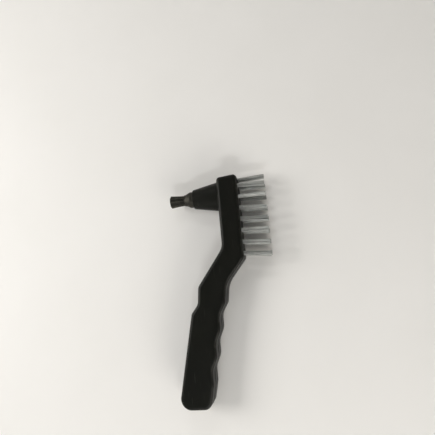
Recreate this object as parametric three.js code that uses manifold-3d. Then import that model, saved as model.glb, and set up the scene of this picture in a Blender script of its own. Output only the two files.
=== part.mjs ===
// Hand brush for cleaning welding torches: a one-piece moulded handle with a bent neck and a waved
// finger grip, a block of stapled steel tufts on one side of the head, and a round wire brush in a
// steel ferrule at the end of a conical stub on the other side.
//
// Millimetres. The brush lies on its flat side: +Z up, +Y along the head towards the nose, and the
// tufts point along +X. The model is drawn with X = 0 on the bristle face, Y = 0 at the lowest tuft
// column and Z = 0 on the lower side, and is moved at the end so that the middle of its footprint is
// the origin.
import * as THREE from "three";
import { mergeVertices } from "three/addons/utils/BufferGeometryUtils.js";
import Module from "manifold-3d";

const wasm = await Module();
wasm.setup();

// ---------------------------------------------------------------- driving dimensions

// Handle section.
const handleDepth = 15; // across the flat sides
const edgeRadius = 1.8; // rounding between a flat side and the outline
const edgeSteps = 3;

// Tuft layout on the head.
const tuftColumns = 7;
const tuftColumnPitch = 6.5;
const tuftRows = 2;
const tuftRowPitch = 8.6;
const noseTuftStep = 3.8; // from the last column to the single tuft in the nose
const noseMargin = 2.9; // from the nose tuft to the end of the head
const heelMargin = 2.8; // from the first column to the heel of the head
const heelColumnLean = -4.5; // degrees, lean of the first column towards the nose
const lastColumnLean = -2;
const noseTuftLean = 2.5;
const tuftRowSplay = 2.5; // degrees between the leans of two neighbouring rows

// One tuft: wires doubled over a flat staple in a drilled hole.
const tuftDiameter = 2.5;
const tuftTipDiameter = 2.9;
const tuftFreeLength = 15.4;
const tuftHoleDepth = 7;
const stapleThickness = 0.5;
const stapleHeight = 2;
const stapleBite = 0.3; // how far each end of a staple cuts into the wall of its hole
const stapleLift = 0.7; // wire left between a staple and the bottom of its hole
const fitClearance = 0.05; // between any two pieces that touch

// Head and neck outline.
const headThickness = 12.1;
const noseSlope = 0.9; // how far the back of the nose is cut below the front
const noseRadius = 2.2;
const neckBackStart = 4.1; // where the neck leaves the back of the head, above the first column
const neckBackRadius = 9;
const heelRadius = 3;
const neckAngle = 40; // degrees, slope of the neck's inner edge
const neckInnerRun = 11.3; // how far the inner edge goes back before it turns down
const neckInnerRadius = 14;

// Thumb rest and grip outline.
const thumbTopSetback = 15.5; // behind the back of the head
const thumbTopDrop = 16.6; // below the first column
const thumbSlope = 0.9;
const thumbLength = 9.4;
const thumbRadius = 4.5;
const shoulderSetback = 4; // from the thumb rest out to the back of the grip
const shoulderDrop = 5;
const shoulderRadius = 4;
const gripAngle = 12; // degrees, between the grip and the head
const gripLength = 51.6; // from the shoulder to the butt, along the back
const buttSlope = 3.9; // how much shorter the grip is along its front
const gripWidth = 17.6; // over the crests
const fingerGrooves = 3;
const fingerPitch = 14.6;
const fingerDepth = 1.7;
const fingerRadius = 9;
const firstGrooveDrop = -1.2; // first groove's bottom, below the shoulder
const buttBackRadius = 6;
const buttFrontRadius = 4.4;

// Conical stub on the back of the head.
const stubBelowNose = 11; // from the nose down to the stub's axis
const stubLength = 15.2;
const stubBaseWidth = 17.4; // along the head
const stubSideStep = 1.4; // from a flat side in to the stub's side
const stubEndDiameter = 11.5;
const stubRoot = 2; // how far the stub's shape runs into the head

// Round wire brush.
const ferruleDiameter = 9.4;
const ferruleWall = 0.35;
const ferruleSeat = 9; // length inside the stub
const ferruleCollar = 2; // straight length outside the stub
const ferruleTaper = 3.6;
const ferruleMouthDiameter = 6.8;
const roundFreeLength = 9;
const roundTipDiameter = 7.6;

const tuftSides = 12;
const stubSides = 40;
const ferruleSides = 28;

// ---------------------------------------------------------------- shape helpers

const radians = THREE.MathUtils.degToRad;

// A closed three.js geometry as a solid that can be joined and cut.
function solid(geometry, matrix = new THREE.Matrix4()) {
  const bare = geometry.clone().applyMatrix4(matrix);
  bare.deleteAttribute("normal");
  bare.deleteAttribute("uv");
  const merged = mergeVertices(bare, 1e-4);
  return new wasm.Manifold(
    new wasm.Mesh({
      numProp: 3,
      vertProperties: merged.attributes.position.array,
      triVerts: new Uint32Array(merged.index.array),
    }),
  );
}

// A solid back as three.js geometry.
function geometryOf(body) {
  const mesh = body.getMesh();
  const geometry = new THREE.BufferGeometry();
  geometry.setAttribute("position", new THREE.BufferAttribute(mesh.vertProperties, 3));
  geometry.setIndex(new THREE.BufferAttribute(mesh.triVerts, 1));
  return geometry;
}

// A turned shape about the X axis from [radius, x] pairs that start and end on the axis.
function turnedOnX(profile, sides) {
  const points = profile.map(([radius, x]) => new THREE.Vector2(radius, x));
  return new THREE.LatheGeometry(points, sides).rotateZ(-Math.PI / 2);
}

// The outline of a polygon whose corners are rounded, each to its own radius. A radius is limited so
// that it fits the sides beside its corner.
function roundedOutline(corners) {
  const shape = new THREE.Shape();
  corners.forEach(({ at, radius }, i) => {
    const before = corners[(i + corners.length - 1) % corners.length].at;
    const after = corners[(i + 1) % corners.length].at;
    const toBefore = before.clone().sub(at);
    const toAfter = after.clone().sub(at);
    const room = Math.min(toBefore.length(), toAfter.length()) * 0.49;
    toBefore.normalize();
    toAfter.normalize();
    const half = Math.acos(THREE.MathUtils.clamp(toBefore.dot(toAfter), -1, 1)) / 2;
    const reach = Math.min(radius / Math.tan(half), room);
    const r = reach * Math.tan(half);
    const start = at.clone().addScaledVector(toBefore, reach);
    const end = at.clone().addScaledVector(toAfter, reach);
    const middle = toBefore.clone().add(toAfter).normalize();
    const centre = at.clone().addScaledVector(middle, Math.hypot(r, reach));
    const clockwise = toBefore.cross(toAfter) > 0;
    const from = Math.atan2(start.y - centre.y, start.x - centre.x);
    const to = Math.atan2(end.y - centre.y, end.x - centre.x);
    shape.absarc(centre.x, centre.y, r, from, to, clockwise);
  });
  return shape;
}

// ---------------------------------------------------------------- handle

const headTop = (tuftColumns - 1) * tuftColumnPitch + noseTuftStep + noseMargin;
const thumbTop = new THREE.Vector2(-headThickness - thumbTopSetback, -thumbTopDrop);
const thumbFoot = new THREE.Vector2(thumbTop.x - thumbSlope, thumbTop.y - thumbLength);
const shoulder = new THREE.Vector2(thumbFoot.x - shoulderSetback, thumbFoot.y - shoulderDrop);
const gripDown = new THREE.Vector2(-Math.sin(radians(gripAngle)), -Math.cos(radians(gripAngle)));
const gripAcross = new THREE.Vector2(-gripDown.y, gripDown.x);

// A point of the grip, so far down from the shoulder and so far across from its back.
function onGrip(down, across) {
  return shoulder.clone().addScaledVector(gripDown, down).addScaledVector(gripAcross, across);
}

// The waved front of the grip, from the butt up: a crest and a groove for each finger.
function fingerCorners() {
  const corners = [];
  for (let i = fingerGrooves - 1; i >= 0; i--) {
    const groove = firstGrooveDrop + i * fingerPitch;
    corners.push({ at: onGrip(groove + fingerPitch / 2, gripWidth), radius: fingerRadius });
    corners.push({ at: onGrip(groove, gripWidth - fingerDepth), radius: fingerRadius });
  }
  return corners;
}

function handleOutline() {
  const heel = new THREE.Vector2(0, -heelMargin);
  const neckTurn = new THREE.Vector2(
    -neckInnerRun,
    -heelMargin - neckInnerRun / Math.tan(radians(neckAngle)),
  );
  const crestAboveGrip = firstGrooveDrop - fingerPitch / 2;
  return roundedOutline([
    { at: new THREE.Vector2(0, headTop), radius: noseRadius },
    { at: new THREE.Vector2(-headThickness, headTop - noseSlope), radius: noseRadius },
    { at: new THREE.Vector2(-headThickness, neckBackStart), radius: neckBackRadius },
    { at: thumbTop, radius: thumbRadius },
    { at: thumbFoot, radius: thumbRadius },
    { at: shoulder, radius: shoulderRadius },
    { at: onGrip(gripLength, 0), radius: buttBackRadius },
    { at: onGrip(gripLength - buttSlope, gripWidth), radius: buttFrontRadius },
    ...fingerCorners(),
    { at: onGrip(crestAboveGrip, gripWidth + fingerDepth / 2), radius: fingerRadius / 2 },
    { at: neckTurn, radius: neckInnerRadius },
    { at: heel, radius: heelRadius },
  ]);
}

// The moulded slab: the outline, as thick as the handle, with rounded edges.
function slab() {
  const geometry = new THREE.ExtrudeGeometry(handleOutline(), {
    depth: handleDepth - 2 * edgeRadius,
    bevelThickness: edgeRadius,
    bevelSize: edgeRadius,
    bevelOffset: -edgeRadius,
    bevelSegments: edgeSteps,
    curveSegments: 7,
  });
  return solid(geometry.translate(0, 0, edgeRadius));
}

const stubAxis = new THREE.Vector3(-headThickness, headTop - stubBelowNose, handleDepth / 2);
const stubEnd = stubAxis.x - stubLength;

// The conical stub: oval where it meets the head, round at its end.
function stub() {
  const geometry = turnedOnX(
    [
      [0, -stubLength],
      [stubEndDiameter / 2, -stubLength],
      [stubBaseWidth / 2, 0],
      [stubBaseWidth / 2, stubRoot],
      [0, stubRoot],
    ],
    stubSides,
  );
  const baseSquash = (handleDepth - 2 * stubSideStep) / stubBaseWidth;
  const places = geometry.attributes.position;
  for (let i = 0; i < places.count; i++) {
    const share = THREE.MathUtils.clamp(-places.getX(i) / stubLength, 0, 1);
    const squash = THREE.MathUtils.lerp(baseSquash, 1, share);
    places.setZ(i, places.getZ(i) * squash);
  }
  return solid(geometry.translate(stubAxis.x, stubAxis.y, stubAxis.z));
}

// The bore in the stub's end that holds the ferrule.
function ferruleBore() {
  const radius = ferruleDiameter / 2 + fitClearance;
  const depth = ferruleSeat + fitClearance;
  const bore = turnedOnX([[0, -1], [radius, -1], [radius, depth], [0, depth]], ferruleSides);
  return solid(bore.translate(stubEnd, stubAxis.y, stubAxis.z));
}

// ---------------------------------------------------------------- tufts

// Every tuft's name and place: the rows and columns, and one tuft in the nose.
function tuftPlaces() {
  const lastColumn = tuftColumns - 1;
  const places = [];
  const place = (name, y, row, lean) => {
    const side = row - (tuftRows - 1) / 2;
    const matrix = new THREE.Matrix4().makeTranslation(0, y, handleDepth / 2 + side * tuftRowPitch);
    matrix.multiply(new THREE.Matrix4().makeRotationZ(radians(lean)));
    matrix.multiply(new THREE.Matrix4().makeRotationY(radians(-side * tuftRowSplay)));
    places.push({ name, matrix });
  };
  for (let column = 0; column <= lastColumn; column++) {
    const lean = THREE.MathUtils.mapLinear(column, 0, lastColumn, heelColumnLean, lastColumnLean);
    for (let row = 0; row < tuftRows; row++) {
      place(`${column + 1}_${"abc"[row] ?? row}`, column * tuftColumnPitch, row, lean);
    }
  }
  place("nose", lastColumn * tuftColumnPitch + noseTuftStep, (tuftRows - 1) / 2, noseTuftLean);
  return places;
}

const holeRadius = tuftDiameter / 2 + fitClearance;
const stapleWidth = 2 * (holeRadius + stapleBite);
const stapleX = -tuftHoleDepth + stapleLift + stapleHeight / 2;

// The box that a staple fills, grown by a gap on every side.
function stapleBox(gap) {
  const box = new THREE.BoxGeometry(
    stapleHeight + 2 * gap, stapleWidth + 2 * gap, stapleThickness + 2 * gap,
  );
  return box.translate(stapleX, 0, 0);
}

// A drilled hole with the cuts that its staple makes in the wall.
function tuftHole() {
  const profile = [[0, -tuftHoleDepth], [holeRadius, -tuftHoleDepth], [holeRadius, 1], [0, 1]];
  return solid(turnedOnX(profile, tuftSides)).add(solid(stapleBox(fitClearance)));
}

// A bundle of wires as one solid, folded round its staple and spreading towards the tip.
function tuft() {
  const bottom = -tuftHoleDepth + fitClearance;
  const profile = [
    [0, bottom],
    [tuftDiameter / 2, bottom],
    [tuftDiameter / 2, 0],
    [tuftTipDiameter / 2, tuftFreeLength],
    [0, tuftFreeLength],
  ];
  return solid(turnedOnX(profile, tuftSides)).subtract(solid(stapleBox(fitClearance)));
}

// ---------------------------------------------------------------- round brush

// Outer radius of the ferrule at each step of its length, from its closed end to its mouth.
const ferruleSteps = [
  [ferruleDiameter / 2, ferruleSeat],
  [ferruleDiameter / 2, -ferruleCollar],
  [ferruleMouthDiameter / 2, -ferruleCollar - ferruleTaper],
];

// A drawn steel cup, pressed into the stub and crimped in to a narrower mouth.
function ferrule() {
  const inside = ferruleSteps.map(([radius, x]) => [radius - ferruleWall, x]);
  inside[0][1] -= ferruleWall;
  const profile = [
    [0, ferruleSeat],
    ...ferruleSteps,
    ...inside.reverse(),
    [0, ferruleSeat - ferruleWall],
  ];
  return turnedOnX(profile.reverse(), ferruleSides);
}

// The wires in the ferrule as one solid, spreading from the mouth to the tip.
function roundBundle() {
  const gap = ferruleWall + fitClearance;
  const mouth = ferruleSteps[2][1];
  const held = ferruleSteps.map(([radius, x]) => [radius - gap, x]);
  held[0][1] -= gap;
  const tip = mouth - roundFreeLength;
  const profile = [[0, held[0][1]], ...held, [roundTipDiameter / 2, tip], [0, tip]];
  return turnedOnX(profile.reverse(), ferruleSides);
}

// ---------------------------------------------------------------- assembly

const blackPlastic = new THREE.MeshStandardMaterial({ color: 0x1d1e1a, roughness: 0.45, metalness: 0 });
const brightWire = new THREE.MeshStandardMaterial({ color: 0xa3a5a2, roughness: 0.35, metalness: 1 });
const stapleSteel = new THREE.MeshStandardMaterial({ color: 0x8d8f8e, roughness: 0.4, metalness: 1 });
const darkWire = new THREE.MeshStandardMaterial({ color: 0x4b4a44, roughness: 0.5, metalness: 1 });
const ferruleSteel = new THREE.MeshStandardMaterial({ color: 0x5a5a55, roughness: 0.4, metalness: 1 });

const drawn = new THREE.Group();

function addPiece(name, geometry, material, matrix = new THREE.Matrix4()) {
  const mesh = new THREE.Mesh(geometry, material);
  mesh.name = name;
  mesh.applyMatrix4(matrix);
  drawn.add(mesh);
}

function addHandle() {
  let handle = slab().add(stub()).subtract(ferruleBore());
  const hole = tuftHole();
  for (const { matrix } of tuftPlaces()) {
    handle = handle.subtract(hole.transform(matrix.elements));
  }
  addPiece("handle", geometryOf(handle), blackPlastic);
}

function addTufts() {
  const wires = geometryOf(tuft());
  const staple = stapleBox(0);
  for (const { name, matrix } of tuftPlaces()) {
    addPiece(`tuft_${name}`, wires, brightWire, matrix);
    addPiece(`staple_${name}`, staple, stapleSteel, matrix);
  }
}

function addRoundBrush() {
  const seat = new THREE.Matrix4().makeTranslation(stubEnd, stubAxis.y, stubAxis.z);
  addPiece("round_brush_ferrule", ferrule(), ferruleSteel, seat);
  addPiece("round_brush_wires", roundBundle(), darkWire, seat);
}

addHandle();
addTufts();
addRoundBrush();

// Move the drawing so that the middle of the footprint, on the lower side, is the origin.
const extent = new THREE.Box3().setFromObject(drawn, true);
const middle = extent.getCenter(new THREE.Vector3());
drawn.position.set(-middle.x, -middle.y, -extent.min.z);

const brush = new THREE.Group();
brush.add(drawn);

export default brush;
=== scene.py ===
"""Looks of a torch cleaning brush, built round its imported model.

Everything is in metres, in the model's own frame: the brush lies on its flat side, +Z is up, +Y runs
from the grip to the nose of the head, and the tufts point along +X.
"""

import bmesh
import bpy
import numpy as np
from mathutils import Matrix, Vector
from mathutils.geometry import delaunay_2d_cdt


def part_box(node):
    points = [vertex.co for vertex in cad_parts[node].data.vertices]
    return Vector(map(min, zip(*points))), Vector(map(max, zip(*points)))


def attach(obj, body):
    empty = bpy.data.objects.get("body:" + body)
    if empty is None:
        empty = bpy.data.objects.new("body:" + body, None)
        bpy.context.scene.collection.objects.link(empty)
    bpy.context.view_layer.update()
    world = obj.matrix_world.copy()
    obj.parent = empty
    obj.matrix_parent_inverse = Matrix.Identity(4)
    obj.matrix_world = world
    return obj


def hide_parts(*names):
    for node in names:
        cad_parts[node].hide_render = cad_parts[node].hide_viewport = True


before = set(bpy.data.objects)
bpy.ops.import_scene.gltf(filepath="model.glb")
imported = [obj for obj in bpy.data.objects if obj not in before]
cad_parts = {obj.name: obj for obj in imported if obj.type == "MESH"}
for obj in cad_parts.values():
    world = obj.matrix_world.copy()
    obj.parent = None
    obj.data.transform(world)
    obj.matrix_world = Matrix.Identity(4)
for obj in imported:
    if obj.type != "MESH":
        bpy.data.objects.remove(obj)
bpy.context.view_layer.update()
mm = 0.001


# ---------------------------------------------------------------- handle
# One moulding in black polypropylene: the block head, the conical stub on its back, the bent neck and
# the waved grip. Two mould halves meet half way up its walls and leave a fine line there. The tuft
# holes are drilled afterwards, and the flat sides sink a little where the plastic is thick.

handle_low, handle_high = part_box("handle")
handle_depth = handle_high.z - handle_low.z
edge_radius = 1.8 * mm
edge_steps = 8
rim_land = 0.2 * mm  # the level margin between a rounded edge and the sunk flat side
wall_draft = 0.012  # how far a wall leans in for each unit away from the parting line
parting_height = 0.07 * mm
parting_width = 0.36 * mm
parting_crest = 0.36  # the ridge's narrow top, as a share of its width
side_sink = 0.16 * mm
sink_reach = 4.5 * mm
outline_step = 0.7 * mm
outline_turn = 0.16  # radians, the most that the outline turns between two points
side_share = 0.49  # the most of a side that the arc at one of its ends takes up
side_grid = 2.2 * mm

head_length = 45.7
head_thickness = 12.1
nose_slope = 0.9
neck_back_start = 4.1
heel_margin = 2.8
neck_angle = np.radians(40)
neck_inner_run = 11.3
thumb_top = np.array([-head_thickness - 15.5, -16.6])
thumb_foot = thumb_top + [-0.9, -9.4]
shoulder = thumb_foot + [-4.0, -5.0]
grip_angle = np.radians(12)
grip_length = 51.6
grip_width = 17.6
butt_slope = 3.9
finger_grooves = 3
finger_pitch = 14.6
finger_depth = 1.7
first_groove = -1.2
nose_round = 2.2
neck_back_round = 9
thumb_round = 4.5
shoulder_round = 4
butt_back_round = 6
butt_front_round = 4.4
finger_round = 9
grip_front_round = 4.5
neck_front_round = 14
heel_round = 3

stub_length = 15.2 * mm
stub_base_width = 17.4 * mm
stub_side_step = 1.4 * mm
stub_end_diameter = 11.5 * mm
stub_fillet = 1.1 * mm
stub_end_round = 0.5 * mm
stub_root = 2 * mm  # how far its solid reaches into the head, to be joined there
bore_diameter = 9.5 * mm
bore_depth = 9.05 * mm
bore_chamfer = 0.2 * mm
turned_sides = 96
fillet_rings = 7
rim_rings = 6

hole_diameter = 2.6 * mm
hole_depth = 7 * mm
hole_mouth_chamfer = 0.16 * mm
hole_sides = 24
drill_point = 0.15 * mm
cutter_overrun = 1 * mm  # how far the cutter stands out of the bristle face
end_band = 0.4 * mm  # the band at either end of a tuft's solid that gives its middle there


def on_grip(down, across):
    """A point of the grip in millimetres, so far down from the shoulder and across from its back."""
    along = np.array([-np.sin(grip_angle), -np.cos(grip_angle)])
    return shoulder + down * along + across * np.array([-along[1], along[0]])


def handle_corners():
    """The outline's corners and their radii in millimetres, from the bristle face at the nose round the
    back, down to the butt and up the waved front. X is 0 on the bristle face, and Y at the heel column."""
    neck_turn = [-neck_inner_run, -heel_margin - neck_inner_run / np.tan(neck_angle)]
    corners = [
        ([0, head_length], nose_round),
        ([-head_thickness, head_length - nose_slope], nose_round),
        ([-head_thickness, neck_back_start], neck_back_round),
        (thumb_top, thumb_round),
        (thumb_foot, thumb_round),
        (shoulder, shoulder_round),
        (on_grip(grip_length, 0), butt_back_round),
        (on_grip(grip_length - butt_slope, grip_width), butt_front_round),
    ]
    for groove in first_groove + finger_pitch * np.arange(finger_grooves)[::-1]:
        corners.append((on_grip(groove + finger_pitch / 2, grip_width), finger_round))
        corners.append((on_grip(groove, grip_width - finger_depth), finger_round))
    grip_front = on_grip(first_groove - finger_pitch / 2, grip_width + finger_depth / 2)
    corners.append((grip_front, grip_front_round))
    corners.append((neck_turn, neck_front_round))
    corners.append(([0, -heel_margin], heel_round))
    return [(np.array(at, float) * mm, radius * mm) for at, radius in corners]


def rounded_loop(corners, step):
    """Points and outward normals round a polygon, anticlockwise. Each corner is an arc that touches
    both its sides, of its own radius or as large as the sides leave room for, and the straight runs
    between arcs are divided about every step."""
    arcs = []
    count = len(corners)
    for i, (at, radius) in enumerate(corners):
        back = corners[i - 1][0] - at
        ahead = corners[(i + 1) % count][0] - at
        room = side_share * min(np.linalg.norm(back), np.linalg.norm(ahead))
        turn = back[1] * ahead[0] - back[0] * ahead[1]
        back /= np.linalg.norm(back)
        ahead /= np.linalg.norm(ahead)
        half = np.arccos(np.clip(back @ ahead, -1, 1)) / 2
        reach = min(radius / np.tan(half), room)
        radius = reach * np.tan(half)
        middle = (back + ahead) / np.linalg.norm(back + ahead)
        centre = at + middle * np.hypot(radius, reach)
        first = at + back * reach - centre
        angle = np.arctan2(first[1], first[0])
        sweep = np.sign(turn) * (np.pi - 2 * half)
        steps = max(4, *np.ceil(abs(sweep) * np.array([radius / step, 1 / outline_turn])).astype(int))
        angles = angle + sweep * np.linspace(0, 1, steps + 1)
        spokes = np.stack([np.cos(angles), np.sin(angles)], 1)
        arcs.append((centre + radius * spokes, spokes * np.sign(turn)))
    points = []
    normals = []
    for i, (run, outward) in enumerate(arcs):
        points.append(run)
        normals.append(outward)
        start = run[-1]
        end = arcs[(i + 1) % count][0][0]
        steps = int(np.linalg.norm(end - start) / step)
        share = np.linspace(0, 1, steps + 2)[1:-1, None]
        points.append(start + (end - start) * share)
        normals.append(np.repeat(outward[-1:], steps, 0))
    return np.concatenate(points), np.concatenate(normals)


def wall_profile():
    """Inset and height up the wall: flat rim, quarter circle, leaning wall, the low ridge at the
    parting line, and the same again mirrored to the upper side. The ridge's crest has no inset."""
    middle = handle_depth / 2
    quarter = np.linspace(0, np.pi / 2, edge_steps + 1)
    lean = wall_draft * (middle - edge_radius)
    inset = lean + edge_radius * (1 - np.sin(quarter))
    height = edge_radius * (1 - np.cos(quarter))
    rim = lean + edge_radius + rim_land
    wall_height = np.array([0.5 * (edge_radius + middle), middle - parting_width / 2])
    wall_inset = wall_draft * (middle - wall_height)
    ridge_height = middle - parting_width * parting_crest / 2
    inset = np.concatenate([[rim], inset, wall_inset, [-parting_height]]) + parting_height
    height = np.concatenate([[0], height, wall_height, [ridge_height]])
    return np.concatenate([inset, inset[::-1]]), np.concatenate([height, 2 * middle - height[::-1]])


def grid_faces(rows, columns):
    """Quads of a grid of points whose columns close on themselves."""
    row, column = np.meshgrid(np.arange(rows - 1), np.arange(columns), indexing="ij")
    ahead = (column + 1) % columns
    corners = [row * columns + column, row * columns + ahead]
    corners += [(row + 1) * columns + ahead, (row + 1) * columns + column]
    return np.stack(corners, -1).reshape(-1, 4)


def inside_loop(points, loop):
    """Whether each point lies inside the loop: its ray to the right crosses the loop an odd number of
    times."""
    x, y = points[:, :1], points[:, 1:]
    ax, ay = loop.T
    bx, by = np.roll(loop, -1, 0).T
    crosses = (ay > y) != (by > y)
    crossing_x = ax + (y - ay) * (bx - ax) / np.where(by == ay, 1, by - ay)
    return (crosses & (x < crossing_x)).sum(1) % 2 == 1


def flat_side(loop):
    """Triangles over the area inside a loop, with the sink of each point: none at the rim, growing
    smoothly to the full depth at the sink's reach from it."""
    low, high = loop.min(0), loop.max(0)
    across = np.arange(low[0], high[0], side_grid)
    along = np.arange(low[1], high[1], side_grid)
    grid = np.stack(np.meshgrid(across, along), -1).reshape(-1, 2)
    grid = grid[inside_loop(grid, loop)]
    distance = np.linalg.norm(grid[:, None] - loop[None], axis=2).min(1)
    points = np.concatenate([loop, grid[distance > side_grid * 0.5]])
    edges = [(i, (i + 1) % len(loop)) for i in range(len(loop))]
    found, _, faces, *_ = delaunay_2d_cdt([Vector(p) for p in points / mm], edges, [], 1, 1e-6)
    found = np.array(found) * mm
    distance = np.linalg.norm(found[:, None] - loop[None], axis=2).min(1)
    share = np.clip(distance / sink_reach, 0, 1)
    return found, side_sink * share * share * (3 - 2 * share), faces


def mesh_object(name, points, faces):
    """A mesh object with its vertices merged where they meet and its faces turned outwards."""
    mesh = bpy.data.meshes.new(name)
    mesh.from_pydata(np.asarray(points).tolist(), [], [list(map(int, face)) for face in faces])
    body = bmesh.new()
    body.from_mesh(mesh)
    bmesh.ops.remove_doubles(body, verts=body.verts, dist=1e-6)
    bmesh.ops.recalc_face_normals(body, faces=body.faces)
    body.to_mesh(mesh)
    body.free()
    piece = bpy.data.objects.new(name, mesh)
    bpy.context.scene.collection.objects.link(piece)
    return piece


def moulded_slab():
    """The outline carried up the wall's profile, closed by two sunk flat sides."""
    loop, normals = rounded_loop(handle_corners(), outline_step)
    shift = np.array([handle_high.x, handle_high.y]) - loop.max(0)
    loop = loop + shift
    inset, height = wall_profile()
    plan = loop[None] - normals[None] * inset[:, None, None]
    rise = np.broadcast_to(height[:, None, None] + handle_low.z, (*plan.shape[:2], 1))
    points = [np.concatenate([plan, rise], 2).reshape(-1, 3)]
    faces = grid_faces(len(inset), len(loop)).tolist()
    side_points, sink, side_faces = flat_side(plan[0])
    for level in (handle_low.z + sink, handle_high.z - sink):
        first = sum(len(part) for part in points)
        points.append(np.column_stack([side_points, level]))
        faces += [[first + corner for corner in face] for face in side_faces]
    return mesh_object("handle_moulding", np.concatenate(points), faces)


def turned(half_width, half_depth, along, sides):
    """Rings about the X axis: ring i lies at along[i], and is an ellipse of those half widths in Y and
    Z. A ring of no width closes the shape."""
    angle = np.linspace(0, 2 * np.pi, sides, endpoint=False)
    rings = np.empty((len(along), sides, 3))
    rings[..., 0] = np.asarray(along)[:, None]
    rings[..., 1] = np.asarray(half_width)[:, None] * np.cos(angle)
    rings[..., 2] = np.asarray(half_depth)[:, None] * np.sin(angle)
    return rings.reshape(-1, 3), grid_faces(len(along), sides)


ferrule_low, ferrule_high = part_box("round_brush_ferrule")
stub_centre = np.array(
    [
        handle_high.x - head_thickness * mm,
        (ferrule_low.y + ferrule_high.y) / 2,
        (handle_low.z + handle_high.z) / 2,
    ]
)


def stub_solid():
    """The stub: a fillet out of the head, a cone from an oval to a round end with a rounded rim, and the
    ferrule's bore."""
    base = np.array([stub_base_width / 2, handle_depth / 2 - stub_side_step])
    end = stub_end_diameter / 2
    sweep = np.linspace(np.pi / 2, 0, fillet_rings)
    along = -stub_fillet * (1 - np.sin(sweep))
    extra = stub_fillet * (1 - np.cos(sweep))
    share = -along / stub_length
    width = base[0] + (end - base[0]) * share + extra
    depth = base[1] + (end - base[1]) * share
    rim = np.linspace(0, np.pi / 2, rim_rings)
    rim_along = -stub_length + stub_end_round * (1 - np.sin(rim))
    rim_radius = end - stub_end_round * (1 - np.cos(rim))
    bore = bore_diameter / 2
    tail_radius = [bore + bore_chamfer, bore, bore, 0]
    tail_along = [-stub_length, -stub_length + bore_chamfer, -stub_length + bore_depth]
    tail_along.append(tail_along[-1])
    along = np.concatenate([[stub_root, stub_root], along, rim_along, tail_along])
    width = np.concatenate([[0, width[0]], width, rim_radius, tail_radius])
    depth = np.concatenate([[0, depth[0]], depth, rim_radius, tail_radius])
    points, faces = turned(width, depth, along, turned_sides)
    return mesh_object("stub", points + stub_centre, faces)


def tuft_axis(node):
    """The middle of a tuft's buried end and of its tip, from its solid's own vertices."""
    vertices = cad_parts[node].data.vertices
    at = np.empty(len(vertices) * 3)
    vertices.foreach_get("co", at)
    at = at.reshape(-1, 3)
    near = at[at[:, 0] < at[:, 0].min() + end_band]
    far = at[at[:, 0] > at[:, 0].max() - end_band]
    return (near.min(0) + near.max(0)) / 2, (far.min(0) + far.max(0)) / 2


tuft_nodes = sorted(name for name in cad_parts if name.startswith("tuft_"))


def tuft_frame(node):
    """The tuft's root on the bristle face, and a turn whose columns are the tuft's own direction, its
    staple's direction and the direction square to both."""
    near, far = tuft_axis(node)
    along = (far - near) / np.linalg.norm(far - near)
    root = near + along * (handle_high.x - near[0]) / along[0]
    staple = np.array([0, 1, 0]) - along * along[1]
    staple /= np.linalg.norm(staple)
    return root, np.column_stack([along, staple, np.cross(along, staple)]), far


def hole_cutter():
    """All the drilled holes as one body: a blunt drill point, a straight wall and a broken edge. The
    same turned cutter is laid along each tuft."""
    radius = hole_diameter / 2
    wide = radius + hole_mouth_chamfer
    width = np.array([0, radius, radius, wide, wide, 0])
    along = [-hole_depth, drill_point - hole_depth, -hole_mouth_chamfer, 0, cutter_overrun, cutter_overrun]
    points, faces = turned(width, width, along, hole_sides)
    all_points = []
    all_faces = []
    for i, node in enumerate(tuft_nodes):
        root, turn, _ = tuft_frame(node)
        all_points.append(points @ turn.T + root)
        all_faces.append(faces + i * len(points))
    return mesh_object("hole_cutter", np.concatenate(all_points), np.concatenate(all_faces))


def combine(piece, other, operation):
    """Joins the other body to the piece, or cuts it away, and drops the other body."""
    modifier = piece.modifiers.new(operation, "BOOLEAN")
    modifier.operation = operation
    modifier.solver = "EXACT"
    modifier.object = other
    result = bpy.data.meshes.new_from_object(piece.evaluated_get(bpy.context.evaluated_depsgraph_get()))
    piece.modifiers.clear()
    old = piece.data
    piece.data = result
    bpy.data.meshes.remove(old)
    bpy.data.objects.remove(other)


def smooth_by_angle(piece, degrees):
    """Smooth shading, with an edge left sharp where its faces meet at more than the angle."""
    piece.data.shade_smooth()
    piece.data.set_sharp_from_angle(angle=np.radians(degrees))


def linear(hex_colour):
    """An sRGB hex colour as linear red, green, blue and alpha."""
    srgb = np.array([int(hex_colour[i : i + 2], 16) for i in (1, 3, 5)]) / 255
    rgb = np.where(srgb <= 0.04045, srgb / 12.92, ((srgb + 0.055) / 1.055) ** 2.4)
    return (*rgb.tolist(), 1.0)


def add_node(material, kind, inputs=(), **settings):
    """A new node with its settings. inputs pairs a socket with a value or with another node's output."""
    node = material.node_tree.nodes.new(kind)
    for name, value in settings.items():
        setattr(node, name, value)
    for socket, value in dict(inputs).items():
        if isinstance(value, bpy.types.NodeSocket):
            material.node_tree.links.new(value, node.inputs[socket])
        else:
            node.inputs[socket].default_value = value
    return node


def new_material(name, **constants):
    """A material with one Principled shader, and the shader's own constants set on it."""
    material = bpy.data.materials.new(name)
    material.use_nodes = True
    shader = material.node_tree.nodes["Principled BSDF"]
    for socket, value in constants.items():
        shader.inputs[socket.replace("_", " ")].default_value = value
    return material, shader


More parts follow.
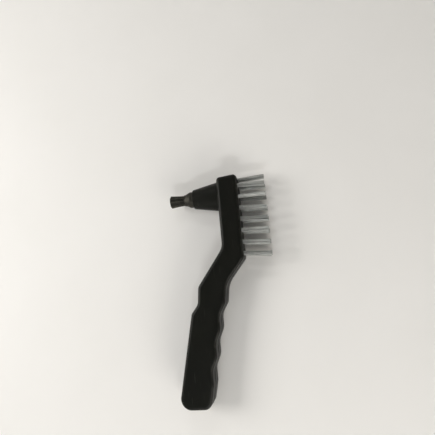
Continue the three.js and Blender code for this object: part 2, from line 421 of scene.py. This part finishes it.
def black_polypropylene():
    """Carbon-black polypropylene moulded in a spark-eroded tool: nearly black and faintly warm, an even
    satin, with a fine grain, slow flow marks, scuffed edges and a few hair scratches."""
    material, shader = new_material("black_polypropylene", IOR=1.49, Specular_IOR_Level=0.2)
    link = material.node_tree.links.new
    place = add_node(material, "ShaderNodeTexCoord").outputs["Object"]
    flow_size = 14 * mm
    cloud_size = 2.6 * mm
    grain_size = 0.28 * mm  # a real grain is nearer 0.1 mm, too fine to see
    scuff_inset = 0.7 * mm  # from the flat side down to the middle of the scuffed band
    scuff_reach = 0.45 * mm
    scratch_width = 0.3 * mm
    scratch_length = 16 * mm
    scratch_band = 10 / 3 * mm
    scratch_turn = np.radians(-24)  # with the grip and the neck, as a hand slides
    worn_share = 0.55  # how far the colour turns to that of worn plastic
    worn_roughness = 0.15
    cloud_relief = 0.8  # the clouds' relief beside the grain's
    flow = add_node(
        material, "ShaderNodeTexNoise", {"Vector": place, "Scale": 1 / flow_size, "Detail": 3.0}
    )
    cloud = add_node(
        material, "ShaderNodeTexNoise", {"Vector": place, "Scale": 1 / cloud_size, "Detail": 4.0}
    )
    grain = add_node(
        material, "ShaderNodeTexNoise", {"Vector": place, "Scale": 1 / grain_size, "Detail": 2.0}
    )
    tone = add_node(
        material,
        "ShaderNodeMix",
        {"Factor": flow.outputs["Fac"], "A": linear("#080906"), "B": linear("#14150f")},
        data_type="RGBA",
    )
    # Scuffs run along the rounded edges, which lie just inside the two flat sides.
    apart = add_node(material, "ShaderNodeSeparateXYZ", {"Vector": place})
    middle = (handle_low.z + handle_high.z) / 2
    height = add_node(material, "ShaderNodeMath", {0: apart.outputs["Z"], 1: middle}, operation="SUBTRACT")
    height = add_node(material, "ShaderNodeMath", {0: height.outputs[0]}, operation="ABSOLUTE")
    edge_height = handle_depth / 2 - scuff_inset
    edge = add_node(
        material, "ShaderNodeMath", {0: height.outputs[0], 1: edge_height}, operation="SUBTRACT"
    )
    edge = add_node(material, "ShaderNodeMath", {0: edge.outputs[0]}, operation="ABSOLUTE")
    edge = add_node(
        material,
        "ShaderNodeMapRange",
        {"Value": edge.outputs[0], "From Min": 0.0, "From Max": scuff_reach, "To Min": 1.0, "To Max": 0.0},
        interpolation_type="SMOOTHSTEP",
    )
    patchy = add_node(
        material,
        "ShaderNodeMapRange",
        {"Value": cloud.outputs["Fac"], "From Min": 0.5, "From Max": 0.72},
        interpolation_type="SMOOTHSTEP",
    )
    scuff = add_node(
        material, "ShaderNodeMath", {0: edge.outputs[0], 1: patchy.outputs[0]}, operation="MULTIPLY"
    )
    # Hair scratches: a noise drawn out along the handle, kept only where it peaks.
    scratch_scale = (1 / scratch_width, 1 / scratch_length, 1 / scratch_band)
    drawn_out = add_node(
        material,
        "ShaderNodeMapping",
        {"Vector": place, "Rotation": (0, 0, scratch_turn), "Scale": scratch_scale},
    )
    scratch = add_node(
        material, "ShaderNodeTexNoise", {"Vector": drawn_out.outputs[0], "Scale": 1.0, "Detail": 1.0}
    )
    scratch = add_node(
        material,
        "ShaderNodeMapRange",
        {"Value": scratch.outputs["Fac"], "From Min": 0.735, "From Max": 0.8},
    )
    worn = add_node(
        material, "ShaderNodeMath", {0: scuff.outputs[0], 1: scratch.outputs[0]}, operation="MAXIMUM"
    )
    share = add_node(material, "ShaderNodeMath", {0: worn.outputs[0], 1: worn_share}, operation="MULTIPLY")
    colour = add_node(
        material,
        "ShaderNodeMix",
        {"Factor": share.outputs[0], "A": tone.outputs["Result"], "B": linear("#4a4b45")},
        data_type="RGBA",
    )
    link(colour.outputs["Result"], shader.inputs["Base Color"])
    gloss = add_node(
        material,
        "ShaderNodeMapRange",
        {"Value": cloud.outputs["Fac"], "From Min": 0.3, "From Max": 0.7, "To Min": 0.38, "To Max": 0.45},
    )
    rough = add_node(
        material,
        "ShaderNodeMath",
        {0: worn.outputs[0], 1: worn_roughness, 2: gloss.outputs[0]},
        operation="MULTIPLY_ADD",
    )
    link(rough.outputs[0], shader.inputs["Roughness"])
    relief = add_node(
        material,
        "ShaderNodeMath",
        {0: cloud.outputs["Fac"], 1: cloud_relief, 2: grain.outputs["Fac"]},
        operation="MULTIPLY_ADD",
    )
    bump = add_node(
        material, "ShaderNodeBump", {"Height": relief.outputs[0], "Strength": 0.3, "Distance": 0.02 * mm}
    )
    link(bump.outputs["Normal"], shader.inputs["Normal"])
    return material


handle = moulded_slab()
combine(handle, stub_solid(), "UNION")
combine(handle, hole_cutter(), "DIFFERENCE")
smooth_by_angle(handle, 38)
handle.data.materials.clear()
handle.data.materials.append(black_polypropylene())
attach(handle, "root")
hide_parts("handle")


# ---------------------------------------------------------------- tufts
# Each tuft is a bunch of drawn steel wires doubled over a flat steel staple, punched into a drilled hole
# and trimmed square. The wires stand tight at the hole, spread towards the tip, and no two are alike.

wire_diameter = 0.34 * mm  # a little coarser than the finest such wire, so that each one shows
wire_sides = 6
wire_pitch = 0.36 * mm
tuft_radius = 1.25 * mm
tip_spread = 1.18
spread_variation = 0.07
tuft_drift = 0.2 * mm  # how far a whole tuft may have been pushed aside at its tip
staple_half = 0.3 * mm
turn_depth = 5.9 * mm
turn_scatter = 0.35 * mm
turn_bulge = 0.2 * mm
turn_draw = 0.5  # how far out from the staple a wire turns, as a share of its place at the face
leg_stations = 5
clumps = 4
clump_size = 0.6 * mm
clump_pull = 0.3
clump_shade = 0.45  # how much of a wire's shade it shares with its clump
root_scatter = 0.03 * mm
tip_scatter = 0.07 * mm
wire_bow = 0.07 * mm
stray_share = 0.08  # of the wires stand out further at the tip
stray_reach = 0.35
trim_spread = 0.22 * mm
random = np.random.default_rng(11)


def half_bunch():
    """Places of the wires on one side of the staple: half rings a wire's pitch apart, each filled evenly
    with as many wires as fit round it."""
    outer = tuft_radius - wire_diameter / 2
    places = []
    for ring in np.arange(outer, wire_diameter / 2, -wire_pitch):
        count = int(np.pi * ring / wire_pitch)
        angle = np.pi * (np.arange(count) + 0.5) / count
        places.append(ring * np.stack([np.cos(angle), np.sin(angle)], 1))
    return np.concatenate(places)


def swept_wires(paths, sideways, diameter):
    """Round wires along paths, an array of wires by stations by xyz. Each ring is square to its path,
    with one spoke as near to the sideways direction as it can be."""
    ahead = np.gradient(paths, axis=1)
    ahead /= np.linalg.norm(ahead, axis=2, keepdims=True)
    spoke = sideways - ahead * (ahead @ sideways)[..., None]
    spoke /= np.linalg.norm(spoke, axis=2, keepdims=True)
    other = np.cross(ahead, spoke)
    angle = np.linspace(0, 2 * np.pi, wire_sides, endpoint=False)
    spokes = np.cos(angle)[:, None] * spoke[:, :, None] + np.sin(angle)[:, None] * other[:, :, None]
    return paths[:, :, None] + spokes * diameter / 2


def wire_mesh(name, rings, tone, reach):
    """One mesh of many wires from their rings, with flat cut ends. Two attributes go with it: tone, the
    wire's own shade from 0 to 1, and reach, from 0 where the wire is held to 1 at its cut end."""
    wires, stations, sides, _ = rings.shape
    each = stations * sides
    start = np.arange(wires)[:, None, None] * each
    tube = (grid_faces(stations, sides)[None] + start).reshape(-1, 4)
    first = np.arange(sides)[::-1] + start[:, 0]
    last = np.arange(sides) + each - sides + start[:, 0]
    mesh = bpy.data.meshes.new(name)
    mesh.from_pydata(rings.reshape(-1, 3).tolist(), [], tube.tolist() + first.tolist() + last.tolist())
    for label, values in (("tone", tone), ("reach", reach)):
        shared = np.repeat(np.broadcast_to(values, (wires, stations))[..., None], sides, axis=2)
        attribute = mesh.attributes.new(label, "FLOAT", "POINT")
        attribute.data.foreach_set("value", shared.astype(np.float32).ravel())
    piece = bpy.data.objects.new(name, mesh)
    bpy.context.scene.collection.objects.link(piece)
    smooth_by_angle(piece, 70)
    return piece


def tuft_paths(length):
    """Paths of a tuft's doubled wires in its own frame, with each station's shade and reach. X runs along
    the tuft from the bristle face, and Y along the staple. A wire comes down one side of the staple,
    turns under it and goes up the other side. Towards the tip the wires spread in proportion to their
    distance from the middle, draw together a little round the centres of a few clumps, and bow by a half
    wave of their own. Wires of one clump are of nearly the same shade."""
    places = half_bunch()
    wires = len(places)
    free = np.linspace(1, 0, leg_stations)
    spread = tip_spread + random.normal(0, spread_variation)
    drift = random.normal(0, tuft_drift, 2)
    centres = random.normal(0, clump_size, (clumps, 2))
    shades = random.random(clumps)
    legs = []
    tones = []
    for side in (1, -1):
        home = places * [1, side] + random.normal(0, root_scatter, places.shape)
        clump = np.linalg.norm(home[:, None] - centres[None], axis=2).argmin(1)
        tip = home * spread + clump_pull * (centres[clump] - home)
        tip += drift + random.normal(0, tip_scatter, home.shape)
        stray = random.random(wires) < stray_share
        tip[stray] += home[stray] * stray_reach
        bow = random.normal(0, wire_bow, home.shape)
        share = free[None, :, None]
        swing = np.sin(np.pi * share) * bow[:, None]
        level = home[:, None] * (1 - share) + tip[:, None] * share + swing
        reach = length - np.abs(random.normal(0, trim_spread, wires))
        along = share[..., 0] * reach[:, None]
        legs.append(np.concatenate([along[..., None], level], 2))
        tones.append(clump_shade * shades[clump] + (1 - clump_shade) * random.random(wires))
    under = staple_half + wire_diameter / 2
    depth = turn_depth + turn_scatter * random.random(wires)
    turn = []
    for angle in np.radians([90, 35, -35, -90]):
        across = (turn_draw * places[:, 1] + under) * np.sin(angle)
        low = -depth - turn_bulge * np.cos(angle)
        turn.append(np.stack([low, places[:, 0], across], 1))
    turn = np.stack(turn, 1)
    paths = np.concatenate([legs[0], turn, legs[1][:, ::-1]], 1)
    tone = np.repeat(np.stack(tones, 1), len(free) + turn.shape[1] // 2, axis=1)
    held = np.concatenate([free, np.zeros(turn.shape[1]), free[::-1]])
    return paths, tone, held


def drawn_steel(name, dark, light, soil_and_shade, rough):
    """Hard-drawn steel wire, bare: a grey mirror broken up by the drawing marks, each wire a shade of its
    own between dark and light, dull with soil and painted shade near where it is held, and clean where the
    end was cut."""
    material, shader = new_material(name, Metallic=1.0)
    link = material.node_tree.links.new
    place = add_node(material, "ShaderNodeTexCoord").outputs["Object"]
    tone = add_node(material, "ShaderNodeAttribute", attribute_name="tone")
    reach = add_node(material, "ShaderNodeAttribute", attribute_name="reach")
    steel = add_node(
        material,
        "ShaderNodeMix",
        {"Factor": tone.outputs["Fac"], "A": linear(dark), "B": linear(light)},
        data_type="RGBA",
    )
    grime_size = 1.6 * mm
    mark_width = 0.12 * mm
    mark_length = 14 * mark_width
    rough_range = 0.16
    grime = add_node(
        material, "ShaderNodeTexNoise", {"Vector": place, "Scale": 1 / grime_size, "Detail": 4.0}
    )
    # Soil and painted shade: towards where the wire is held, the colour turns to the soil_and_shade colour
    # in patches of the grime noise, and the effect fades out towards the cut end.
    low = add_node(
        material,
        "ShaderNodeMapRange",
        {"Value": reach.outputs["Fac"], "From Min": 0.0, "From Max": 0.55, "To Min": 0.85, "To Max": 0.12},
    )
    soil_and_shade_share = add_node(
        material, "ShaderNodeMath", {0: low.outputs[0], 1: grime.outputs["Fac"]}, operation="MULTIPLY"
    )
    colour = add_node(
        material,
        "ShaderNodeMix",
        {"Factor": soil_and_shade_share.outputs[0], "A": steel.outputs["Result"], "B": linear(soil_and_shade)},
        data_type="RGBA",
    )
    link(colour.outputs["Result"], shader.inputs["Base Color"])
    gloss = add_node(
        material,
        "ShaderNodeMapRange",
        {
            "Value": grime.outputs["Fac"],
            "From Min": 0.3,
            "From Max": 0.7,
            "To Min": rough,
            "To Max": rough + rough_range,
        },
    )
    link(gloss.outputs[0], shader.inputs["Roughness"])
    marks = add_node(
        material,
        "ShaderNodeMapping",
        {"Vector": place, "Scale": (1 / mark_length, 1 / mark_width, 1 / mark_width)},
    )
    marks = add_node(
        material, "ShaderNodeTexNoise", {"Vector": marks.outputs[0], "Scale": 1.0, "Detail": 2.0}
    )
    bump = add_node(
        material, "ShaderNodeBump", {"Height": marks.outputs["Fac"], "Strength": 0.3, "Distance": 0.01 * mm}
    )
    link(bump.outputs["Normal"], shader.inputs["Normal"])
    return material


# The fourth colour is soil and painted shade on the wires near the handle.
tuft_steel = drawn_steel("drawn_tuft_wire", "#8a8c89", "#f6f8f4", "#4a4740", 0.32)
for node in tuft_nodes:
    root, turn, tip = tuft_frame(node)
    paths, tone, held = tuft_paths(np.linalg.norm(tip - root))
    rings = swept_wires(paths, np.array([0.0, 1.0, 0.0]), wire_diameter)
    rings = rings @ turn.T + root
    wires = wire_mesh(f"{node}_wires", rings, tone, held)
    wires.data.materials.append(tuft_steel)
    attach(wires, "root")
    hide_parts(node)


# ---------------------------------------------------------------- staples
# A staple is a short piece of flat steel strip, cut to length by the tufting machine and driven in so
# that its ends bite into the plastic on both sides of the hole. Only its edge would show between wires.


def rolled_strip():
    """Cold-rolled mild steel strip: light grey, with fine rolling lines."""
    material, shader = new_material("rolled_steel_strip", Metallic=1.0)
    link = material.node_tree.links.new
    place = add_node(material, "ShaderNodeTexCoord").outputs["Object"]
    line_width = 0.08 * mm
    line_length = 20 * line_width
    lines = add_node(
        material,
        "ShaderNodeMapping",
        {"Vector": place, "Scale": (1 / line_width, 1 / line_length, 1 / line_width)},
    )
    lines = add_node(
        material, "ShaderNodeTexNoise", {"Vector": lines.outputs[0], "Scale": 1.0, "Detail": 3.0}
    )
    colour = add_node(
        material,
        "ShaderNodeMix",
        {"Factor": lines.outputs["Fac"], "A": linear("#7f817f"), "B": linear("#b3b5b2")},
        data_type="RGBA",
    )
    link(colour.outputs["Result"], shader.inputs["Base Color"])
    gloss = add_node(
        material, "ShaderNodeMapRange", {"Value": lines.outputs["Fac"], "To Min": 0.3, "To Max": 0.5}
    )
    link(gloss.outputs[0], shader.inputs["Roughness"])
    return material


strip_steel = rolled_strip()
for name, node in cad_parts.items():
    if name.startswith("staple_"):
        node.data.materials.clear()
        node.data.materials.append(strip_steel)


# ---------------------------------------------------------------- ferrule
# A cup drawn from thin steel, oiled and dark. It is pressed into the stub's bore, and its mouth is closed
# in on the wires by a crimping tool with eight jaws, which leaves eight soft flats round the taper.

ferrule_wall = 0.35 * mm
ferrule_radius = (ferrule_high.y - ferrule_low.y) / 2
ferrule_mouth_radius = 3.4 * mm
ferrule_collar = 2 * mm
ferrule_taper = 3.6 * mm
ferrule_corner = 0.5 * mm  # the chamfer round the closed end
collar_bend = 0.4 * mm  # where the collar starts to turn into the taper
mouth_run = 0.5 * mm  # the straight run at the mouth
crimp_jaws = 8
crimp_depth = 0.14 * mm
taper_rings = 15
lip_rings = 7
ferrule_sides = 96


def ferrule_cup():
    """Outer rings from the closed end to the mouth and inner rings back: a straight run, a taper that is
    half straight and half eased by a half cosine, and the mouth's edge, a half circle. The jaws' flats
    are a cosine round the taper that fades as a squared sine at both its ends."""
    stub_end = stub_centre[0] - stub_length
    mouth = ferrule_low.x
    shoulder_at = stub_end - ferrule_collar
    closed = ferrule_high.x
    taper = np.linspace(0, 1, taper_rings)
    eased = 0.5 * taper + 0.25 * (1 - np.cos(np.pi * taper))
    straight = [closed, closed - ferrule_corner, shoulder_at + collar_bend]
    out_along = np.concatenate([straight, shoulder_at - (ferrule_taper - mouth_run) * taper])
    straight = [ferrule_radius - ferrule_corner, ferrule_radius, ferrule_radius]
    narrowing = (ferrule_radius - ferrule_mouth_radius) * eased
    out_radius = np.concatenate([straight, ferrule_radius - narrowing])
    lip = np.linspace(0, np.pi, lip_rings)
    lip_along = mouth + ferrule_wall / 2 * (1 - np.sin(lip))
    lip_radius = ferrule_mouth_radius - ferrule_wall / 2 * (1 - np.cos(lip))
    in_along = out_along[::-1].copy()
    in_radius = out_radius[::-1] - ferrule_wall
    in_along[-1] -= ferrule_wall
    along = np.concatenate([[closed], out_along, lip_along, in_along, in_along[-1:]])
    radius = np.concatenate([[0], out_radius, lip_radius, in_radius, [0]])
    points, faces = turned(radius, radius, along, ferrule_sides)
    across = np.hypot(points[:, 1], points[:, 2])
    angle = np.arctan2(points[:, 2], points[:, 1])
    share = np.clip((shoulder_at - points[:, 0]) / ferrule_taper, 0, 1)
    flat = crimp_depth * (0.5 + 0.5 * np.cos(crimp_jaws * angle)) * np.sin(np.pi * share) ** 2
    scale = np.where(across > 0, 1 - flat / np.maximum(across, mm), 1)
    points[:, 1:] *= scale[:, None]
    points[:, 1:] += stub_centre[1:]
    return mesh_object("ferrule_cup", points, faces)


def oiled_drawn_steel():
    """Thin mild steel, deep drawn and blackened in oil: dark warm grey metal, drawing lines that run
    round the cup, and a patchy film of oil."""
    material, shader = new_material("oiled_drawn_steel", Metallic=1.0)
    link = material.node_tree.links.new
    place = add_node(material, "ShaderNodeTexCoord").outputs["Object"]
    film_size = 1.8 * mm
    line_width = 0.22 * mm
    line_length = 30 * line_width
    film = add_node(
        material, "ShaderNodeTexNoise", {"Vector": place, "Scale": 1 / film_size, "Detail": 4.0}
    )
    lines = add_node(
        material,
        "ShaderNodeMapping",
        {"Vector": place, "Scale": (1 / line_width, 1 / line_length, 1 / line_length)},
    )
    lines = add_node(
        material, "ShaderNodeTexNoise", {"Vector": lines.outputs[0], "Scale": 1.0, "Detail": 2.0}
    )
    colour = add_node(
        material,
        "ShaderNodeMix",
        {"Factor": film.outputs["Fac"], "A": linear("#2f2e2a"), "B": linear("#4c4b45")},
        data_type="RGBA",
    )
    link(colour.outputs["Result"], shader.inputs["Base Color"])
    gloss = add_node(
        material, "ShaderNodeMapRange", {"Value": film.outputs["Fac"], "To Min": 0.42, "To Max": 0.64}
    )
    link(gloss.outputs[0], shader.inputs["Roughness"])
    bump = add_node(
        material,
        "ShaderNodeBump",
        {"Height": lines.outputs["Fac"], "Strength": 0.25, "Distance": 0.02 * mm},
    )
    link(bump.outputs["Normal"], shader.inputs["Normal"])
    return material


ferrule = ferrule_cup()
smooth_by_angle(ferrule, 40)
ferrule.data.materials.append(oiled_drawn_steel())
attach(ferrule, "root")
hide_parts("round_brush_ferrule")


# ---------------------------------------------------------------- round brush
# A bundle of straight tempered wires, dark from the heat treatment, held by the ferrule's mouth. It
# spreads a little to a trimmed, slightly domed end.

bundle_low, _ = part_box("round_brush_wires")
bundle_count = 190
bundle_wire = 0.36 * mm
bundle_play = 0.03 * mm
bundle_radius = ferrule_mouth_radius - ferrule_wall - bundle_wire / 2 - bundle_play
bundle_tip_radius = 3.8 * mm - bundle_wire / 2
bundle_hold = 3 * mm  # how far the wires reach into the ferrule
bundle_dome = 0.5 * mm
bundle_trim = 0.1 * mm
bundle_bow = 0.05 * mm
bundle_spread_power = 1.3
golden_angle = np.pi * (3 - np.sqrt(5))


def bundle_paths():
    """Wires placed on a sunflower spiral, which packs a disc evenly: wire k lies at the golden angle times
    k, and at a distance that grows with the square root of k. From the ferrule's mouth each one bows by a
    half wave and spreads with a power of its way out. Their trimmed ends make a low dome."""
    k = np.arange(bundle_count)
    share = np.sqrt((k + 0.5) / bundle_count)
    angle = golden_angle * k
    spoke = np.stack([np.cos(angle), np.sin(angle)], 1)
    home = spoke * share[:, None] * bundle_radius
    tip = spoke * share[:, None] * bundle_tip_radius
    tip += random.normal(0, tip_scatter, tip.shape)
    mouth = ferrule_low.x
    free = mouth - bundle_low.x
    trim = bundle_dome * share**2 + np.abs(random.normal(0, bundle_trim, bundle_count))
    station = np.array([-bundle_hold / free, 0, 0.33, 0.67, 1.0])
    outside = np.clip(station, 0, 1)[None, :, None]
    spread = outside**bundle_spread_power
    bow = np.sin(np.pi * outside) * random.normal(0, bundle_bow, (bundle_count, 1, 2))
    level = home[:, None] * (1 - spread) + tip[:, None] * spread + bow + stub_centre[1:]
    along = mouth - station[None] * (free - trim[:, None])
    return np.concatenate([along[..., None], level], 2), station


paths, station = bundle_paths()
rings = swept_wires(paths, np.array([0.0, 1.0, 0.0]), bundle_wire)
bundle = wire_mesh("round_bundle", rings, random.random((bundle_count, 1)), np.clip(station, 0, 1))
# The fourth colour is soil and painted shade on the wires at the ferrule's mouth.
bundle.data.materials.append(drawn_steel("tempered_brush_wire", "#33322d", "#66655d", "#22211e", 0.4))
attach(bundle, "root")
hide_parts("round_brush_wires")


# ---------------------------------------------------------------- studio
# A pale table top that curves up into a wall all round, a soft light from the stub's side that shades the
# table under the tufts, one from the neck's side, two narrow ones over heel and nose that the wires
# mirror, and a camera close above the bristles that looks down across the head.

floor_radius = 0.45
bend_radius = 0.45
wall_height = 1.0
floor_sides = 96
bend_rings = 25
camera_height = 215 * mm
camera_beside = 37.2 * mm  # towards the bristles, from the middle of the footprint
camera_along = 6.4 * mm  # towards the nose
aim_beside = -0.87 * mm
aim_along = 40.34 * mm
aim_height = 7.5 * mm
camera_turn = 5.03  # degrees, clockwise from the head's own direction
sensor_width = 36.0
lens_length = 30.12
lamp_target = (0, 20 * mm, 0)
air_strength = 0.15


def pale_laminate():
    """A matt, off-white laminate: even, with a faint and slow mottle."""
    material, shader = new_material("pale_laminate", Roughness=0.7)
    link = material.node_tree.links.new
    place = add_node(material, "ShaderNodeTexCoord").outputs["Object"]
    mottle_size = 60 * mm
    mottle = add_node(
        material, "ShaderNodeTexNoise", {"Vector": place, "Scale": 1 / mottle_size, "Detail": 3.0}
    )
    colour = add_node(
        material,
        "ShaderNodeMix",
        {"Factor": mottle.outputs["Fac"], "A": linear("#f0efec"), "B": linear("#f6f5f3")},
        data_type="RGBA",
    )
    link(colour.outputs["Result"], shader.inputs["Base Color"])
    return material


def backdrop():
    """A round table top that curves up into a wall: a profile of radius and height, straight, a quarter
    circle and straight again, turned about the upright axis."""
    bend = np.linspace(0, np.pi / 2, bend_rings)
    radius = np.concatenate([[0], floor_radius + bend_radius * np.sin(bend), [floor_radius + bend_radius]])
    height = np.concatenate([[0], bend_radius * (1 - np.cos(bend)), [wall_height]])
    angle = np.linspace(0, 2 * np.pi, floor_sides, endpoint=False)
    across = radius[:, None, None] * np.stack([np.cos(angle), np.sin(angle)], 1)
    level = np.broadcast_to(height[:, None, None] + handle_low.z, (*across.shape[:2], 1))
    points = np.concatenate([across, level], 2).reshape(-1, 3)
    mesh = bpy.data.meshes.new("backdrop")
    mesh.from_pydata(points.tolist(), [], grid_faces(len(radius), floor_sides).tolist())
    mesh.shade_smooth()
    mesh.materials.append(pale_laminate())
    sweep = bpy.data.objects.new("backdrop", mesh)
    bpy.context.scene.collection.objects.link(sweep)


def facing(place, target, up):
    """A turn and place whose -Z axis looks from place at target."""
    back = (Vector(place) - Vector(target)).normalized()
    right = Vector(up).cross(back).normalized()
    turn = Matrix((right, back.cross(right), back)).transposed().to_4x4()
    return Matrix.Translation(Vector(place)) @ turn


def soft_light(name, place, size, watts, colour):
    """A rectangular area light that faces the brush and doesn't show itself."""
    light = bpy.data.lights.new(name, "AREA")
    light.shape = "RECTANGLE"
    light.size, light.size_y = size
    light.energy = watts
    light.color = linear(colour)[:3]
    lamp = bpy.data.objects.new(name, light)
    lamp.matrix_world = facing(place, lamp_target, (0, 0, 1))
    lamp.visible_camera = False
    bpy.context.scene.collection.objects.link(lamp)


def set_camera():
    """The scene's camera, turned by its angle from the head's own direction."""
    camera = bpy.data.cameras.new("camera")
    camera.sensor_width = sensor_width
    camera.lens = lens_length
    camera.clip_start = 0.005
    holder = bpy.data.objects.new("camera", camera)
    turn = np.radians(camera_turn)
    place = (camera_beside, camera_along, handle_low.z + camera_height)
    target = (aim_beside, aim_along, handle_low.z + aim_height)
    holder.matrix_world = facing(place, target, (np.sin(turn), np.cos(turn), 0))
    bpy.context.scene.collection.objects.link(holder)
    bpy.context.scene.camera = holder


backdrop()
soft_light("stub_side_light", (-0.5, 0.1, 0.36), (0.3, 0.3), 2.1, "#fffcf8")
soft_light("neck_side_light", (0.38, -0.55, 0.27), (0.5, 0.3), 2.2, "#fffaf2")
soft_light("heel_strip_light", (-0.03, -0.45, 0.45), (0.2, 0.06), 0.7, "#ffffff")
soft_light("nose_strip_light", (-0.03, 0.45, 0.45), (0.2, 0.06), 0.25, "#ffffff")
world = bpy.data.worlds.new("studio_air")
world.use_nodes = True
world.node_tree.nodes["Background"].inputs["Color"].default_value = linear("#e8ebee")
world.node_tree.nodes["Background"].inputs["Strength"].default_value = air_strength
bpy.context.scene.world = world
bpy.context.scene.view_settings.view_transform = "Standard"
set_camera()
